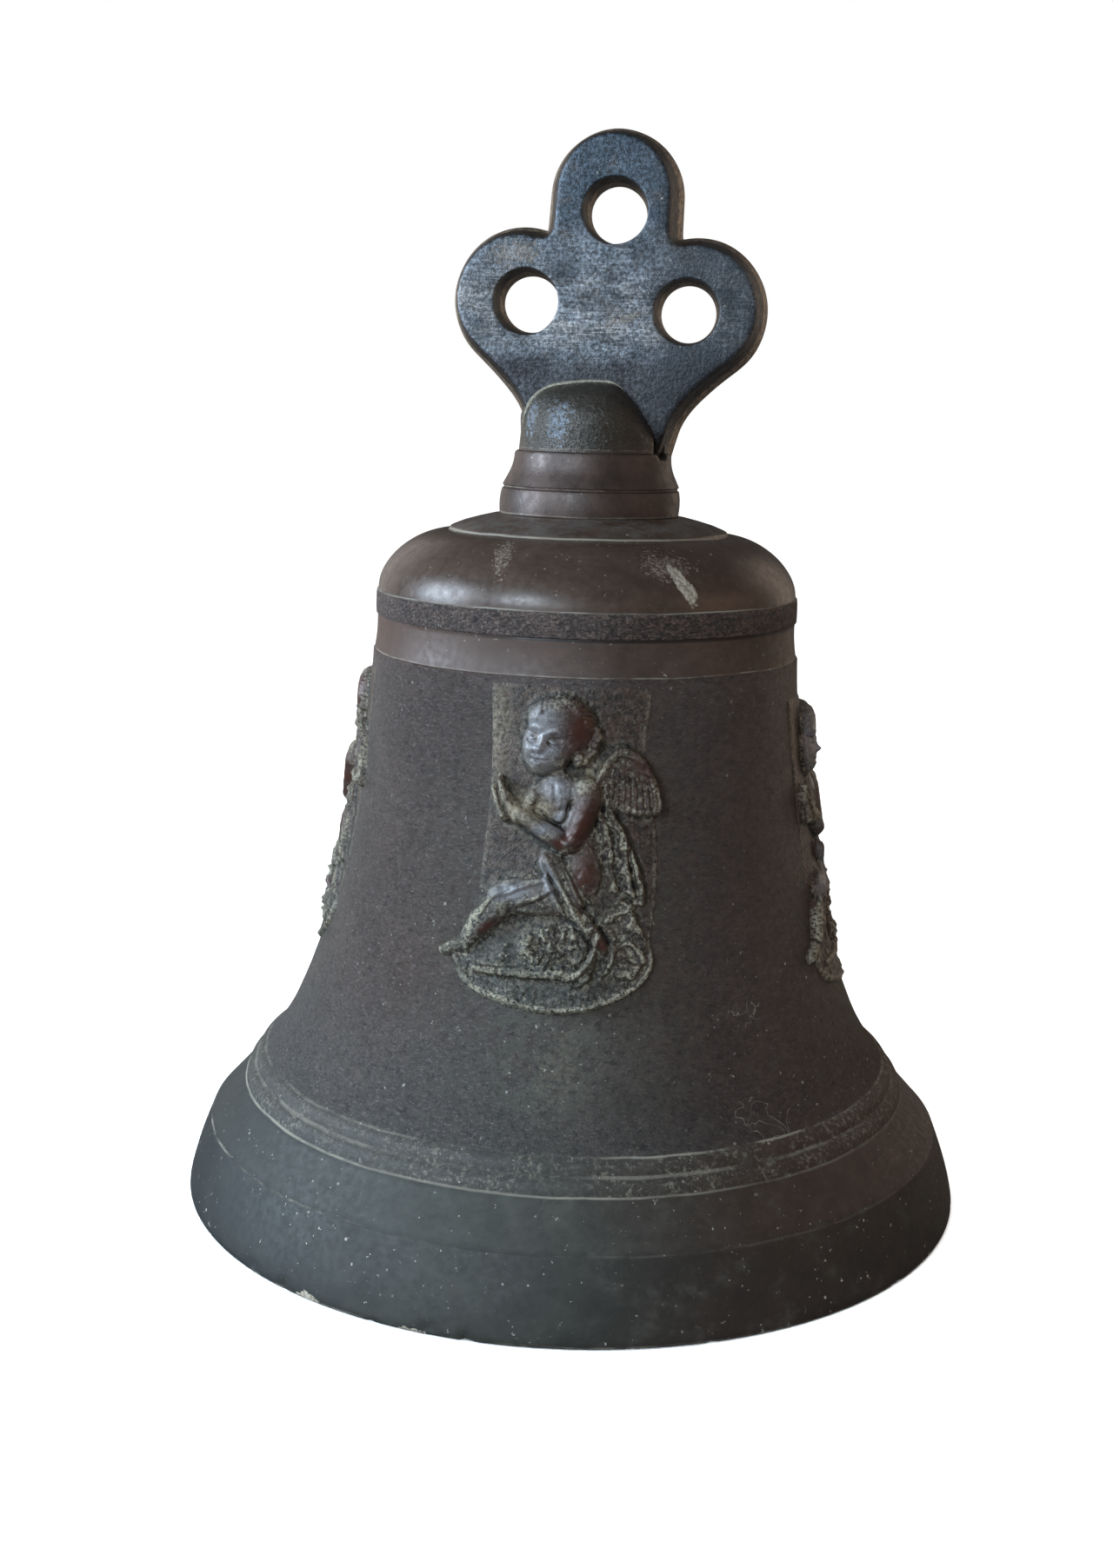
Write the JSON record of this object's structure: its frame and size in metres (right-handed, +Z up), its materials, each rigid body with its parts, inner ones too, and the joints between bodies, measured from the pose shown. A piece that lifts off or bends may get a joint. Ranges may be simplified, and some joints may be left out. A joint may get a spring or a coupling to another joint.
{
  "type": "church bell",
  "caption": "Small bronze church bell with a three-hole crown plate, cast cherubs on the waist, and an iron clapper hung on a link from an eye bolt.",
  "frame": {"origin": "centre of the mouth, in the plane of the lip that the bell stands on", "axes": "+Z up along the bell's axis; X along the width of the crown plate; +Y from the plate's front to its back, along the bolt holes"},
  "size_m": [0.32, 0.3198, 0.424],
  "materials": {
    "bell_bronze": "dark brown bronze patina over a sand-cast skin, with dust in the grooves",
    "neck_bronze": "turned bronze, dark brown patina",
    "plate_bronze": "filed bronze, blue-grey patina with brush marks",
    "relief_bronze": "cast bronze, rubbed red-brown on the high spots, dust in the hollows",
    "forged_iron": "forged, dark with light rust",
    "pin_steel": "turned, dulled",
    "ball_iron": "cast, worn bright where it strikes",
    "leather": "oiled leather",
    "bush_bronze": "turned, oiled"
  },
  "bodies": {
    "bell": {"bell_body": "bell_bronze", "crown_neck": "neck_bronze", "crown_plate": "plate_bronze", "cherub_relief_front": "relief_bronze", "cherub_relief_right": "relief_bronze", "cherub_relief_back": "relief_bronze", "cherub_relief_left": "relief_bronze", "eye_bolt": "forged_iron", "leather_washer": "leather", "clamp_washer": "forged_iron", "lock_nut": "forged_iron"},
    "link": {"swing_link": "forged_iron", "link_pin": "pin_steel", "link_pin_washer": "pin_steel", "link_split_pin": "pin_steel", "clapper_pin": "pin_steel", "clapper_pin_washer": "pin_steel", "clapper_split_pin": "pin_steel"},
    "clapper": {"clapper_rod": "forged_iron", "clapper_bush": "bush_bronze", "clapper_ball": "ball_iron", "ball_cross_pin": "pin_steel"}
  },
  "joints": [
    {"name": "link_rock", "type": "hinge", "parent": "bell", "child": "link", "pos_m": [0, 0, 0.227], "axis": [0, 1, 0], "range_deg": [-6, 6]},
    {"name": "clapper_swing", "type": "hinge", "parent": "link", "child": "clapper", "pos_m": [0, 0, 0.181], "axis": [1, 0, 0], "range_deg": [-34.5, 34.5]}
  ]
}
